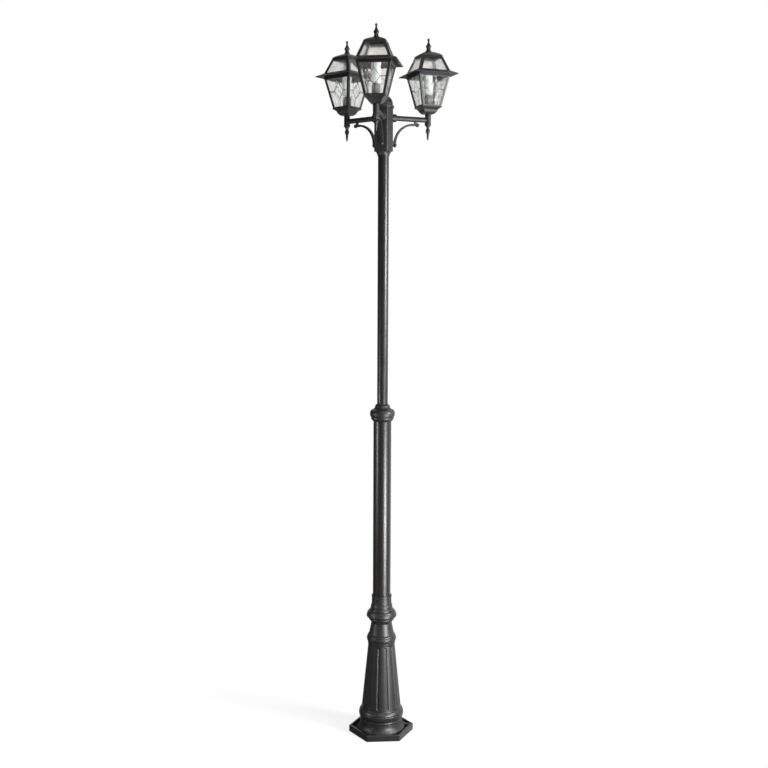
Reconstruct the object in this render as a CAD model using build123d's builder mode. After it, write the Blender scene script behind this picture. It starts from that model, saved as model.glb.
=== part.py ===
from build123d import *
import os

# Triple head lamp post: a cast foot and fluted pedestal, two telescoped tubes with a
# collar between them, and a hexagonal hub that carries three arms, each with a
# four-sided lantern. Millimetres, +Z up, origin on the post's axis at the ground.
# The front arm points along -Y. Heights follow the post's own build-up, so each
# piece starts where the one below it ends.

# ---------------------------------------------------------------- fits
slip_fit = 0.1          # radial gap of a fixed piece in its socket
running_fit = 0.08      # radial gap of the hub on the upper tube, where the head turns
seat_gap = 0.2          # height of the gap under a piece that lifts off or turns
glass_gap = 0.2         # gap between a pane and the frame around it

# ---------------------------------------------------------------- foot and pedestal
foot_corners = 221.0    # across the hexagon's corners
foot_turn = 13.1        # degrees from +X to the foot's first corner
foot_floor = 6.0
foot_rim_h, foot_rim_wall, foot_rim_bevel = 22.0, 7.0, 2.0
gusset_count, gusset_wall = 3, 6.0
gusset_h = 36.0         # where a gusset meets the pedestal
bolt_circle, bolt_hole, bolt_count = 182.0, 9.0, 3

skirt_r, skirt_h = 81.0, 17.0
flare_r, flare_h, flare_hollow = 71.5, 21.0, 2.4
step_r, step_bulge, step_h = 72.0, 1.6, 14.0
ring_bulge, ring_h = 7.0, 35.0
taper_foot_r, taper_head_r, taper_h = 67.0, 45.0, 220.0
groove_r, groove_h = 43.8, 3.0
band_r, band_h = 46.8, 10.0
bead_r, bead_bulge, bead_h = 45.2, 5.8, 25.0
bell_r, bell_hollow, bell_h = 43.2, 0.5, 38.0
waist_r, waist_hollow, waist_h = 35.0, 0.6, 16.5
crown_r, crown_bulge, crown_h = 46.2, 4.8, 25.5
neck_foot_r = 40.4
neck_r, neck_hollow, neck_h = 33.4, 1.3, 46.0
lip_r, lip_h = 34.1, 7.0
pedestal_wall = 6.2
tube_stop_r, tube_stop_h = 26.0, 8.0
tube_in_pedestal = 90.0

flute_count, flute_width, flute_depth = 12, 8.0, 2.2
flute_foot_margin, flute_head_margin = 12.0, 6.0

# ---------------------------------------------------------------- tubes and collar
lower_tube_d, lower_tube_wall, lower_tube_shown = 60.0, 2.5, 594.0
upper_tube_d, upper_tube_wall, upper_tube_shown = 36.0, 2.5, 814.0

collar_foot_r, collar_bevel_h = 31.4, 8.0
collar_cup_r, collar_cup_h = 38.0, 6.0
collar_ring_r, collar_ring_bulge, collar_ring_h = 38.7, 3.1, 23.0
collar_shoulder_r, collar_shoulder_h = 31.0, 4.0
collar_bell_r, collar_bell_hollow, collar_bell_h = 24.6, 0.9, 8.0
collar_lip_h = 3.0
collar_tip_r, collar_tip_h = 19.4, 6.0
collar_spigot_h = 78.0
collar_stop_h, collar_stop_r = 4.0, 14.0
tube_in_collar = 36.0

# ---------------------------------------------------------------- hub
hub_corner_r, hub_edge_round, hub_h = 31.6, 2.5, 139.0
hub_tip_r, hub_foot_r, hub_foot_hollow, hub_foot_h = 19.8, 27.0, 1.5, 14.0
hub_wall = 3.4
hub_floor, hub_way_r = 6.0, 13.0
tube_in_hub = 56.0
cap_flange_r, cap_flange_h = 34.0, 7.0
cap_dome_r, cap_rise_h, cap_wall = 30.0, 5.0, 2.5
cap_lip_h = 5.0
block_x, block_y, block_z = 30.0, 17.0, 19.0
block_poles, block_way_d, block_well_h = 3, 4.4, 7.0

# ---------------------------------------------------------------- grub screws
grub_d, grub_count = 6.0, 3
grub_sunk = 0.4         # below the casting's surface
pedestal_grub_drop = 14.0
collar_low_grub_rise = 12.0
collar_top_grub_drop = 7.5
hub_grub_rise = 26.0

# ---------------------------------------------------------------- arm, brace, column
arm_reach = 157.0       # post axis to lantern axis
arm_rise = 123.0        # arm axis above the hub's foot
arm_d, arm_way_d = 17.0, 6.0
arm_boss_d, arm_boss_l, arm_boss_bevel = 26.0, 17.0, 2.0
arm_stud_d, arm_stud_spare = 12.0, 1.5
arm_tip_d = 10.0        # spigot in the column
arm_tip_stop = 4.0      # from the column's axis to the spigot's end
nut_flats, nut_t = 17.0, 5.0

brace_bar, brace_ball = 9.4, 13.0
brace_bend = 65.0       # radius of the quarter bend
brace_near = 35.0       # post axis to the bar's upright end
brace_drop = 18.0       # arm axis down to the bar's level end
brace_tail = 19.0       # level end beyond the bend
brace_curl = 4.5        # the lower end turns out by this and down by as much
brace_lug, brace_lug_l = 7.0, 10.0

column_d, column_up, column_down = 20.0, 19.0, 18.0
column_foot_r, column_foot_bulge, column_foot_h = 9.6, 1.2, 8.0
nipple_d, nipple_way_d, nipple_h = 10.0, 6.4, 21.0
stud_d, stud_l = 6.0, 8.0

drop_tip_r, drop_tip_h = 2.4, 2.0
drop_stem_r, drop_stem_bulge, drop_stem_h = 4.3, 0.5, 20.0
drop_neck_r, drop_bulb_bulge, drop_bulb_h = 4.6, 2.9, 16.0
drop_head_r, drop_head_hollow, drop_head_h = 8.6, 1.0, 9.0

# ---------------------------------------------------------------- lantern
# Half sides are taken square to a face of the lantern, at the height named.
cup_foot_half = 14.0
cup_bowl_half, cup_bowl_bulge, cup_bowl_h = 25.0, 1.8, 14.0
cup_neck_half, cup_neck_h = 31.5, 6.0
cup_rim_half, cup_rim_h = 34.5, 4.0
cup_floor, cup_wall = 11.0, 3.5

body_foot_half, body_head_half, body_h = 33.7, 53.8, 93.5
body_sill_half, body_sill_h = 27.0, 2.0
body_rim_half, body_rim_h = 55.5, 7.5
window_margin = 1.5     # frame that covers a pane's foot and head
post_leg, frame_wall, glass_wall = 8.5, 2.5, 3.0

roof_foot_half, roof_head_half, roof_h = 54.0, 34.5, 49.0
roof_ring_half, roof_ring_h = 48.0, 12.0
roof_ledge_drop = 2.0   # ledge for the panes, below the ribs' feet
roof_lip_h, roof_lip_gap = 5.0, 0.5
roof_head_band, roof_head_hole_half = 6.0, 26.0
rib_leg = 10.0
eave_half, eave_fall, eave_wall, eave_edge = 74.5, 10.5, 3.0, 1.2

cap_edge_half, cap_edge_h, cap_step = 35.5, 2.2, 2.0
cap_head_half, cap_bulge, cap_h = 9.0, 0.4, 13.0
cap_boss_d, cap_boss_h = 12.0, 10.0

finial_flange_r, finial_flange_h = 10.0, 3.7
finial_waist_r, finial_waist_hollow, finial_waist_h = 6.8, 0.6, 6.3
finial_bell_r, finial_bell_hollow, finial_bell_h = 9.6, 1.0, 9.0
finial_neck_r, finial_neck_hollow, finial_neck_h = 3.0, 0.9, 14.0
finial_ball_r, finial_ball_rise = 4.1, 7.7
finial_stud_d, finial_stud_l = 5.0, 12.0

holder_d, holder_h = 27.0, 50.0
holder_lip_step, holder_lip_h = 1.0, 6.0
holder_bore_d, holder_bore_h = 15.0, 30.0
lamp_base_d, lamp_base_bevel, lamp_clear = 13.8, 3.0, 1.0
lamp_d, lamp_shoulder_bulge, lamp_shoulder_h = 29.0, 1.5, 7.0
lamp_glass_h, lamp_crown_h = 59.0, 9.0

# ---------------------------------------------------------------- heights, from the ground
z_flare = skirt_h + flare_h
z_ring = z_flare + step_h
z_taper = z_ring + ring_h
z_groove = z_taper + taper_h
z_band = z_groove + groove_h
z_bead = z_band + band_h
z_bell = z_bead + bead_h
z_waist = z_bell + bell_h
z_crown = z_waist + waist_h
z_neck = z_crown + crown_h
z_lip = z_neck + neck_h
z_pedestal = z_lip + lip_h
z_lower_tube = z_pedestal - tube_in_pedestal
z_collar = z_pedestal + lower_tube_shown
z_lower_tube_top = z_collar + tube_in_collar
z_collar_ring = z_collar + collar_bevel_h + collar_cup_h
z_collar_shoulder = z_collar_ring + collar_ring_h
z_collar_bell = z_collar_shoulder + collar_shoulder_h
z_collar_lip = z_collar_bell + collar_bell_h
z_collar_tip = z_collar_lip + collar_lip_h
z_collar_top = z_collar_tip + collar_tip_h
z_spigot = z_lower_tube_top - collar_spigot_h
z_upper_tube = z_spigot + collar_stop_h
z_hub = z_collar_top + upper_tube_shown
z_hub_body = z_hub + hub_foot_h
z_hub_top = z_hub_body + hub_h
z_hub_shoulder = z_hub + tube_in_hub
z_hub_floor = z_hub_shoulder + hub_floor
z_cap_rise = z_hub_top + cap_flange_h
z_cap_dome = z_cap_rise + cap_rise_h
z_arm = z_hub + arm_rise
z_column = z_arm - column_down
z_cup = z_arm + column_up
z_cup_neck = z_cup + cup_bowl_h
z_cup_rim = z_cup_neck + cup_neck_h
z_body = z_cup_rim + cup_rim_h
z_body_head = z_body + body_h
z_body_top = z_body_head + body_rim_h
z_roof = z_body_top + seat_gap
z_ribs = z_roof + roof_ring_h
z_roof_cap = z_ribs + roof_h
z_finial = z_roof_cap + cap_h
z_holder = z_cup + cup_floor
z_holder_top = z_holder + holder_h
z_lamp = z_holder_top - holder_bore_h + seat_gap
z_lamp_glass = z_holder_top + lamp_clear + lamp_shoulder_h

foot_r = foot_corners / 2
foot_well_r = foot_r - foot_rim_wall / (3 ** 0.5 / 2)
hub_flat = hub_corner_r * 3 ** 0.5 / 2
hub_inner_flat = hub_flat - hub_wall
lower_tube_r = lower_tube_d / 2
upper_tube_r = upper_tube_d / 2
column_r = column_d / 2

post_side = Plane.XZ
arm_side = Plane.YZ
lantern = Plane((0, -arm_reach, 0))
lantern_front = Plane((0, -arm_reach, 0), x_dir=(1, 0, 0), z_dir=(0, -1, 0))
lantern_side = Plane((0, -arm_reach, 0), x_dir=(0, 1, 0), z_dir=(1, 0, 0))
lantern_axis = Axis((0, -arm_reach, 0), (0, 0, 1))
arm_turns = {"front": 0, "left": -120, "right": 120}

os.makedirs("parts", exist_ok=True)


def draw_outline(start, *steps):
    """Runs from point to point. A third number is an arc's bulge, outward on the way up."""
    for across, up, *bulge in steps:
        if bulge:
            SagittaArc(start, (across, up), -bulge[0])
        else:
            Line(start, (across, up))
        start = (across, up)


def dome_bulge(r, h):
    """The bulge of an arc from radius r to the axis, h along it, that ends square to it."""
    sphere_r = (r ** 2 + h ** 2) / (2 * h)
    return sphere_r - (sphere_r ** 2 - (r ** 2 + h ** 2) / 4) ** 0.5


def revolved(start, *steps, side=post_side, axis=Axis.Z):
    """A solid of revolution from a closed outline of radii and heights."""
    with BuildPart() as solid:
        with BuildSketch(side):
            with BuildLine():
                draw_outline(start, *steps, start)
            make_face()
        revolve(axis=axis)
    return solid.part


def four_sided(start, *steps):
    """A square-plan solid about the lantern's axis, with this half outline on all sides."""
    with BuildPart() as solid:
        for side, mode in ((lantern_front, Mode.ADD), (lantern_side, Mode.INTERSECT)):
            with BuildSketch(side):
                with BuildLine():
                    draw_outline(start, *steps, start)
                make_face()
                mirror(about=Plane.YZ)
            extrude(amount=2 * eave_half, both=True, mode=mode)
    return solid.part


def panel(low, high, near, far, half_width):
    """A flat block on the lantern's front, for a pane or its window, between two heights.

    near, far and half_width give, at each height, the distances of its two faces from
    the lantern's axis and half its width."""
    with BuildPart() as block:
        for z in (low, high):
            with BuildSketch(lantern.offset(z)):
                with Locations((0, -(near(z) + far(z)) / 2)):
                    Rectangle(2 * half_width(z), far(z) - near(z))
        loft(ruled=True)
    return block.part


def on_four_sides(piece):
    return [piece.rotate(lantern_axis, 90 * turn) for turn in range(4)]


def radial_rods(diameter, near, far, z, count, turn):
    """Level rods that point away from the post's axis, for grub screws and their holes."""
    with BuildPart() as rods:
        for k in range(count):
            outward = Plane.YZ.rotated((0, 0, turn + 360 * k / count))
            with BuildSketch(outward.offset(near)):
                with Locations((0, z)):
                    Circle(diameter / 2)
            extrude(amount=far - near)
    return rods.part


def write(piece, name):
    piece.label = name
    export_step(piece, f"parts/{name}.step")


# ---------------------------------------------------------------- base casting
def taper_r(z):
    return taper_foot_r + (taper_head_r - taper_foot_r) * (z - z_taper) / taper_h


flute_r = flute_width ** 2 / (8 * flute_depth) + flute_depth / 2
flute_z = (z_taper + flute_foot_margin, z_groove - flute_head_margin)
flute_ends = [Vector(0, -taper_r(z) - flute_r + flute_depth, z) for z in flute_z]

with BuildPart() as flute:
    with BuildSketch(Plane(flute_ends[0], z_dir=flute_ends[1] - flute_ends[0])):
        Circle(flute_r)
    extrude(amount=(flute_ends[1] - flute_ends[0]).length)
    with Locations(*flute_ends):
        Sphere(flute_r)

with BuildPart() as base_casting:
    # Hexagonal tray with a raised rim
    with BuildSketch():
        RegularPolygon(foot_r, 6, rotation=foot_turn)
    extrude(amount=foot_rim_h)
    chamfer(base_casting.faces().sort_by(Axis.Z)[-1].edges(), foot_rim_bevel)
    with BuildSketch(Plane.XY.offset(foot_floor)):
        RegularPolygon(foot_well_r, 6, rotation=foot_turn)
    extrude(amount=foot_rim_h, mode=Mode.SUBTRACT)
    # Pedestal
    add(revolved(
        (0, 0), (skirt_r, 0), (skirt_r, skirt_h),
        (flare_r, z_flare, -flare_hollow),
        (step_r, z_flare), (step_r, z_ring, step_bulge),
        (taper_foot_r, z_taper, ring_bulge),
        (taper_head_r, z_groove), (groove_r, z_groove), (groove_r, z_band),
        (band_r, z_band), (band_r, z_bead), (bead_r, z_bead),
        (bell_r, z_bell, bead_bulge),
        (waist_r, z_waist, -bell_hollow),
        (crown_r, z_crown, -waist_hollow),
        (crown_r, z_neck, crown_bulge),
        (neck_foot_r, z_neck), (neck_r, z_lip, -neck_hollow),
        (lip_r, z_lip), (lip_r, z_pedestal), (0, z_pedestal),
    ))
    # Gussets from the pedestal to every other corner of the rim
    for k in range(gusset_count):
        with BuildSketch(post_side.rotated((0, 0, foot_turn + 360 * k / gusset_count))):
            Polygon(
                (flare_r - pedestal_wall, foot_floor / 2),
                (foot_well_r, foot_floor / 2),
                (foot_well_r, foot_rim_h - foot_rim_bevel),
                (skirt_r, z_flare - flare_h + foot_floor),
                (flare_r, gusset_h),
                (flare_r - pedestal_wall, gusset_h),
                align=None,
            )
        extrude(amount=gusset_wall / 2, both=True)
    with PolarLocations(0, flute_count, start_angle=foot_turn + 180 / flute_count):
        add(flute.part, mode=Mode.SUBTRACT)
    # Hollow for the supply cable, open at the ground
    add(revolved(
        (0, 0), (skirt_r - pedestal_wall, 0), (skirt_r - pedestal_wall, foot_floor),
        (flare_r - pedestal_wall, z_flare, -flare_hollow),
        (flare_r - pedestal_wall, z_ring),
        (taper_foot_r - pedestal_wall, z_taper),
        (taper_head_r - pedestal_wall, z_groove),
        (bell_r - pedestal_wall, z_bell),
        (tube_stop_r, z_lower_tube - tube_stop_h), (tube_stop_r, z_lower_tube),
        (lower_tube_r + slip_fit, z_lower_tube), (lower_tube_r + slip_fit, z_pedestal),
        (0, z_pedestal),
    ), mode=Mode.SUBTRACT)
    with BuildSketch():
        with PolarLocations(bolt_circle / 2, bolt_count, start_angle=foot_turn + 180 / bolt_count):
            Circle(bolt_hole / 2)
    extrude(amount=foot_floor, mode=Mode.SUBTRACT)
    z_pedestal_grub = z_pedestal - pedestal_grub_drop
    add(radial_rods(
        grub_d + 2 * slip_fit, lower_tube_r, neck_r + 1, z_pedestal_grub, grub_count, foot_turn,
    ), mode=Mode.SUBTRACT)
write(base_casting.part, "base_casting")

write(radial_rods(
    grub_d, lower_tube_r + slip_fit, neck_r - grub_sunk, z_pedestal_grub, grub_count, foot_turn,
), "base_set_screws")

# ---------------------------------------------------------------- tubes
with BuildPart() as lower_tube:
    with BuildSketch(Plane.XY.offset(z_lower_tube)):
        Circle(lower_tube_r)
        Circle(lower_tube_r - lower_tube_wall, mode=Mode.SUBTRACT)
    extrude(amount=z_lower_tube_top - z_lower_tube)
write(lower_tube.part, "lower_tube")

with BuildPart() as upper_tube:
    with BuildSketch(Plane.XY.offset(z_upper_tube)):
        Circle(upper_tube_r)
        Circle(upper_tube_r - upper_tube_wall, mode=Mode.SUBTRACT)
    extrude(amount=z_hub_shoulder - seat_gap - z_upper_tube)
write(upper_tube.part, "upper_tube")

# ---------------------------------------------------------------- collar between the tubes
spigot_r = lower_tube_r - lower_tube_wall - slip_fit
z_low_grub = z_collar + collar_low_grub_rise
z_top_grub = z_collar_top - collar_top_grub_drop

with BuildPart() as tube_collar:
    add(revolved(
        (0, z_collar), (collar_foot_r, z_collar),
        (collar_cup_r, z_collar + collar_bevel_h), (collar_cup_r, z_collar_ring),
        (collar_ring_r, z_collar_ring), (collar_ring_r, z_collar_shoulder, collar_ring_bulge),
        (collar_shoulder_r, z_collar_bell),
        (collar_bell_r, z_collar_lip, -collar_bell_hollow), (collar_bell_r, z_collar_tip),
        (collar_tip_r, z_collar_top), (0, z_collar_top),
    ))
    # Socket for the lower tube, with the spigot left standing inside it
    with BuildSketch(Plane.XY.offset(z_collar)):
        Circle(lower_tube_r + slip_fit)
        Circle(spigot_r, mode=Mode.SUBTRACT)
    extrude(amount=tube_in_collar, mode=Mode.SUBTRACT)
    with BuildSketch(Plane.XY.offset(z_spigot)):
        Circle(spigot_r)
    extrude(amount=z_collar - z_spigot)
    with BuildSketch(Plane.XY.offset(z_upper_tube)):
        Circle(upper_tube_r + slip_fit)
    extrude(amount=z_collar_top - z_upper_tube, mode=Mode.SUBTRACT)
    with BuildSketch(Plane.XY.offset(z_spigot)):
        Circle(collar_stop_r)
    extrude(amount=collar_stop_h, mode=Mode.SUBTRACT)
    add(radial_rods(
        grub_d + 2 * slip_fit, lower_tube_r, collar_cup_r + 1, z_low_grub, grub_count, foot_turn,
    ), mode=Mode.SUBTRACT)
    add(radial_rods(
        grub_d + 2 * slip_fit, upper_tube_r, collar_bell_r + 1, z_top_grub, grub_count, foot_turn,
    ), mode=Mode.SUBTRACT)
write(tube_collar.part, "tube_collar")

with BuildPart() as collar_set_screws:
    add(radial_rods(
        grub_d, lower_tube_r + slip_fit, collar_cup_r - grub_sunk, z_low_grub, grub_count, foot_turn,
    ))
    add(radial_rods(
        grub_d, upper_tube_r + slip_fit, collar_bell_r - grub_sunk, z_top_grub, grub_count, foot_turn,
    ))
write(collar_set_screws.part, "collar_set_screws")

# ---------------------------------------------------------------- hub
z_hub_grub = z_hub + hub_grub_rise
hub_grub_turn = 30 + 60     # on the flats between the arms

with BuildPart() as hub_sleeve:
    with BuildSketch(Plane.XY.offset(z_hub_body)):
        RegularPolygon(hub_corner_r, 6)
    extrude(amount=hub_h)
    fillet(hub_sleeve.edges().filter_by(Axis.Z), hub_edge_round)
    add(revolved(
        (0, z_hub), (hub_tip_r, z_hub), (hub_foot_r, z_hub_body, -hub_foot_hollow),
        (0, z_hub_body),
    ))
    with BuildSketch(Plane.XY.offset(z_hub)):
        Circle(upper_tube_r + running_fit)
    extrude(amount=tube_in_hub, mode=Mode.SUBTRACT)
    with BuildSketch(Plane.XY.offset(z_hub_shoulder)):
        Circle(hub_way_r)
    extrude(amount=hub_floor, mode=Mode.SUBTRACT)
    with BuildSketch(Plane.XY.offset(z_hub_floor)):
        RegularPolygon(hub_inner_flat, 6, major_radius=False)
    extrude(amount=z_hub_top - z_hub_floor, mode=Mode.SUBTRACT)
    add(radial_rods(
        arm_stud_d + 2 * slip_fit, hub_inner_flat - 1, hub_flat + 1, z_arm, len(arm_turns), 30,
    ), mode=Mode.SUBTRACT)
    add(radial_rods(
        grub_d + 2 * slip_fit, upper_tube_r, hub_flat + 1, z_hub_grub, grub_count, hub_grub_turn,
    ), mode=Mode.SUBTRACT)
write(hub_sleeve.part, "hub_sleeve")

write(radial_rods(
    grub_d, upper_tube_r + 2 * running_fit, hub_flat - grub_sunk, z_hub_grub, grub_count, hub_grub_turn,
), "hub_set_screws")

cap_lip_r = hub_inner_flat - slip_fit
cap_hollow_r = cap_dome_r - cap_wall
with BuildPart() as hub_cap:
    add(revolved(
        (0, z_hub_top - cap_lip_h), (cap_lip_r, z_hub_top - cap_lip_h), (cap_lip_r, z_hub_top),
        (cap_flange_r, z_hub_top), (cap_flange_r, z_cap_rise),
        (cap_dome_r, z_cap_rise), (cap_dome_r, z_cap_dome),
        (0, z_cap_dome + cap_dome_r, dome_bulge(cap_dome_r, cap_dome_r)),
    ))
    add(revolved(
        (0, z_hub_top - cap_lip_h), (cap_lip_r - cap_wall, z_hub_top - cap_lip_h),
        (cap_lip_r - cap_wall, z_hub_top), (cap_hollow_r, z_cap_rise), (cap_hollow_r, z_cap_dome),
        (0, z_cap_dome + cap_hollow_r, dome_bulge(cap_hollow_r, cap_hollow_r)),
    ), mode=Mode.SUBTRACT)
write(hub_cap.part, "hub_cap")

with BuildPart() as terminal_block:
    pole_pitch = block_x / block_poles
    with BuildSketch(Plane.XY.offset(z_hub_floor)):
        Rectangle(block_x, block_y)
    extrude(amount=block_z)
    with BuildSketch(Plane.XY.offset(z_hub_floor + block_z)):
        with GridLocations(pole_pitch, block_y / 2, block_poles, 2):
            Circle(block_way_d / 2)
    extrude(amount=-block_well_h, mode=Mode.SUBTRACT)
    with BuildSketch(post_side.offset(block_y / 2)):
        with Locations((0, z_hub_floor + block_way_d)):
            with GridLocations(pole_pitch, 1, block_poles, 1):
                Circle(block_way_d / 2)
    extrude(amount=-block_y, mode=Mode.SUBTRACT)
write(terminal_block.part, "terminal_block")

# ---------------------------------------------------------------- arm, made at the front
with BuildPart() as arm:
    with BuildSketch(post_side.offset(hub_flat)):
        with Locations((0, z_arm)):
            Circle(arm_boss_d / 2)
    extrude(amount=arm_boss_l)
    chamfer(arm.faces().sort_by(Axis.Y)[0].edges(), arm_boss_bevel)
    with BuildSketch(post_side.offset(hub_flat)):
        with Locations((0, z_arm)):
            Circle(arm_d / 2)
    extrude(amount=arm_reach - hub_flat)
    # The end is coped to the column
    with BuildSketch(lantern.offset(z_arm - arm_d)):
        Circle(column_r + slip_fit)
    extrude(amount=2 * arm_d, mode=Mode.SUBTRACT)
    for start, end, diameter in (
        (hub_inner_flat - nut_t - arm_stud_spare, hub_flat, arm_stud_d),
        (arm_reach - 2 * column_r, arm_reach - arm_tip_stop, arm_tip_d),
    ):
        with BuildSketch(post_side.offset(start)):
            with Locations((0, z_arm)):
                Circle(diameter / 2)
        extrude(amount=end - start)
    with BuildSketch(post_side):
        with Locations((0, z_arm)):
            Circle(arm_way_d / 2)
    extrude(amount=arm_reach, mode=Mode.SUBTRACT)

with BuildPart() as arm_nut:
    with BuildSketch(post_side.offset(hub_inner_flat - nut_t)):
        with Locations((0, z_arm)):
            RegularPolygon(nut_flats / 2, 6, major_radius=False)
            Circle(arm_stud_d / 2 + slip_fit, mode=Mode.SUBTRACT)
    extrude(amount=nut_t)

z_brace_low = z_arm - brace_drop - brace_bend
with BuildPart() as brace:
    with BuildLine(arm_side) as bar_line:
        tail_end = (-(brace_near + brace_bend + brace_tail), z_arm - brace_drop)
        bend_top = (-(brace_near + brace_bend), z_arm - brace_drop)
        bend_low = (-brace_near, z_brace_low)
        curl_end = (-(brace_near + brace_curl), z_brace_low - brace_curl)
        Line(tail_end, bend_top)
        TangentArc(bend_top, bend_low, tangent=(1, 0))
        TangentArc(bend_low, curl_end, tangent=(0, -1))
    with BuildSketch(Plane(bar_line.line @ 0, z_dir=bar_line.line % 0)):
        Circle(brace_bar / 2)
    sweep(path=bar_line.line)
    with Locations(bar_line.line @ 0, bar_line.line @ 1):
        Sphere(brace_ball / 2)
    # Lug on the hub's flat
    with BuildSketch(post_side.offset(hub_flat)):
        with Locations((0, z_brace_low + brace_lug_l / 2)):
            Rectangle(brace_lug, brace_lug_l)
    extrude(amount=brace_near - hub_flat)
    # Lug under the arm, coped to it
    with BuildSketch(Plane.XY.offset(z_arm - brace_drop)):
        with Locations((0, -(brace_near + brace_bend + brace_lug_l / 2))):
            Rectangle(brace_lug, brace_lug_l)
    extrude(amount=brace_drop)
    with BuildSketch(post_side):
        with Locations((0, z_arm)):
            Circle(arm_d / 2 + slip_fit)
    extrude(amount=arm_reach, mode=Mode.SUBTRACT)

# ---------------------------------------------------------------- column and drop finial
with BuildPart() as column:
    add(revolved(
        (0, z_column), (column_foot_r, z_column),
        (column_r, z_column + column_foot_h, column_foot_bulge), (column_r, z_cup),
        (nipple_d / 2, z_cup), (nipple_d / 2, z_cup + nipple_h), (0, z_cup + nipple_h),
        side=lantern_front, axis=lantern_axis,
    ))
    with BuildSketch(lantern.offset(z_arm)):
        Circle(nipple_way_d / 2)
    extrude(amount=column_up + nipple_h, mode=Mode.SUBTRACT)
    with BuildSketch(lantern.offset(z_column)):
        Circle(stud_d / 2 + slip_fit)
    extrude(amount=stud_l + seat_gap, mode=Mode.SUBTRACT)
    with BuildSketch(post_side.offset(arm_reach - 2 * column_r)):
        with Locations((0, z_arm)):
            Circle(arm_tip_d / 2 + slip_fit)
    extrude(amount=2 * column_r - arm_tip_stop + slip_fit, mode=Mode.SUBTRACT)
    with BuildSketch(post_side.offset(arm_reach - 2 * column_r)):
        with Locations((0, z_arm)):
            Circle(arm_way_d / 2)
    extrude(amount=2 * column_r, mode=Mode.SUBTRACT)

z_drop_stem = z_column - drop_head_h - drop_bulb_h
z_drop_tip = z_drop_stem - drop_stem_h
drop_finial = revolved(
    (0, z_drop_tip - drop_tip_h), (drop_tip_r, z_drop_tip, dome_bulge(drop_tip_r, drop_tip_h)),
    (drop_stem_r, z_drop_stem, drop_stem_bulge),
    (drop_neck_r, z_column - drop_head_h, drop_bulb_bulge),
    (drop_head_r, z_column, -drop_head_hollow),
    (stud_d / 2, z_column), (stud_d / 2, z_column + stud_l), (0, z_column + stud_l),
    side=lantern_front, axis=lantern_axis,
)


# ---------------------------------------------------------------- lantern cup and body
def body_half(z):
    return body_foot_half + (body_head_half - body_foot_half) * (z - z_body) / body_h


def roof_half(z):
    return roof_foot_half + (roof_head_half - roof_foot_half) * (z - z_ribs) / roof_h


with BuildPart() as cup:
    add(four_sided(
        (0, z_cup), (cup_foot_half, z_cup), (cup_bowl_half, z_cup_neck, cup_bowl_bulge),
        (cup_neck_half, z_cup_rim), (cup_rim_half, z_cup_rim), (cup_rim_half, z_body),
        (0, z_body),
    ))
    add(four_sided(
        (0, z_holder), (cup_bowl_half - 1.5 * cup_wall, z_holder),
        (cup_neck_half - cup_wall, z_cup_rim), (cup_rim_half - cup_wall, z_cup_rim + cup_wall),
        (cup_rim_half - cup_wall, z_body), (0, z_body),
    ), mode=Mode.SUBTRACT)
    with BuildSketch(lantern.offset(z_cup)):
        Circle(nipple_d / 2 + slip_fit)
    extrude(amount=cup_floor, mode=Mode.SUBTRACT)

z_sill = z_body + body_sill_h
with BuildPart() as body_frame:
    add(four_sided(
        (0, z_body), (body_foot_half, z_body), (body_head_half, z_body_head),
        (body_rim_half, z_body_head), (body_rim_half, z_body_top), (0, z_body_top),
    ))
    add(four_sided(
        (0, z_body), (body_sill_half, z_body), (body_sill_half, z_sill),
        (body_half(z_sill) - frame_wall, z_sill),
        (body_head_half - frame_wall, z_body_head), (body_head_half - frame_wall, z_body_top),
        (0, z_body_top),
    ), mode=Mode.SUBTRACT)
    body_window = panel(
        z_sill + window_margin, z_body_head - window_margin,
        lambda z: body_half(z) - 2 * frame_wall, lambda z: body_half(z) + frame_wall,
        lambda z: body_half(z) - post_leg,
    )
    for window in on_four_sides(body_window):
        add(window, mode=Mode.SUBTRACT)

body_pane = panel(
    z_sill, z_body_head,
    lambda z: body_half(z) - frame_wall - glass_gap - glass_wall,
    lambda z: body_half(z) - frame_wall - glass_gap,
    lambda z: body_half(z) - frame_wall - 2 * glass_gap - glass_wall,
)
with BuildPart() as body_panes:
    add(on_four_sides(body_pane))

# ---------------------------------------------------------------- lantern roof
z_lip_foot = z_roof - roof_lip_h
z_eave = z_ribs - eave_fall - eave_wall
z_ledge = z_ribs - roof_ledge_drop
z_roof_band = z_roof_cap - roof_head_band
roof_lip_half = body_head_half - frame_wall - roof_lip_gap

with BuildPart() as roof_frame:
    # Eave and ribs, hollow below the eave
    add(four_sided(
        (0, z_eave), (eave_half, z_eave), (eave_half, z_eave + eave_wall),
        (roof_foot_half, z_ribs), (roof_head_half, z_roof_cap), (0, z_roof_cap),
    ))
    add(four_sided(
        (0, z_eave), (eave_half - eave_edge, z_eave), (roof_foot_half, z_ribs - eave_wall),
        (0, z_ribs - eave_wall),
    ), mode=Mode.SUBTRACT)
    # Ring that rests on the body, with the lip that keeps it in place
    add(four_sided(
        (0, z_lip_foot), (roof_lip_half, z_lip_foot), (roof_lip_half, z_roof),
        (roof_foot_half, z_roof), (roof_foot_half, z_ribs - eave_wall / 2),
        (0, z_ribs - eave_wall / 2),
    ))
    add(four_sided(
        (0, z_lip_foot), (roof_ring_half, z_lip_foot), (roof_ring_half, z_ledge),
        (roof_half(z_ledge) - frame_wall, z_ledge),
        (roof_half(z_roof_band) - frame_wall, z_roof_band),
        (roof_head_hole_half, z_roof_band), (roof_head_hole_half, z_roof_cap), (0, z_roof_cap),
    ), mode=Mode.SUBTRACT)
    roof_window = panel(
        z_ribs + window_margin / 3, z_roof_band - window_margin,
        lambda z: roof_half(z) - 2 * frame_wall, lambda z: roof_half(z) + frame_wall,
        lambda z: roof_half(z) - rib_leg,
    )
    for window in on_four_sides(roof_window):
        add(window, mode=Mode.SUBTRACT)

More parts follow.
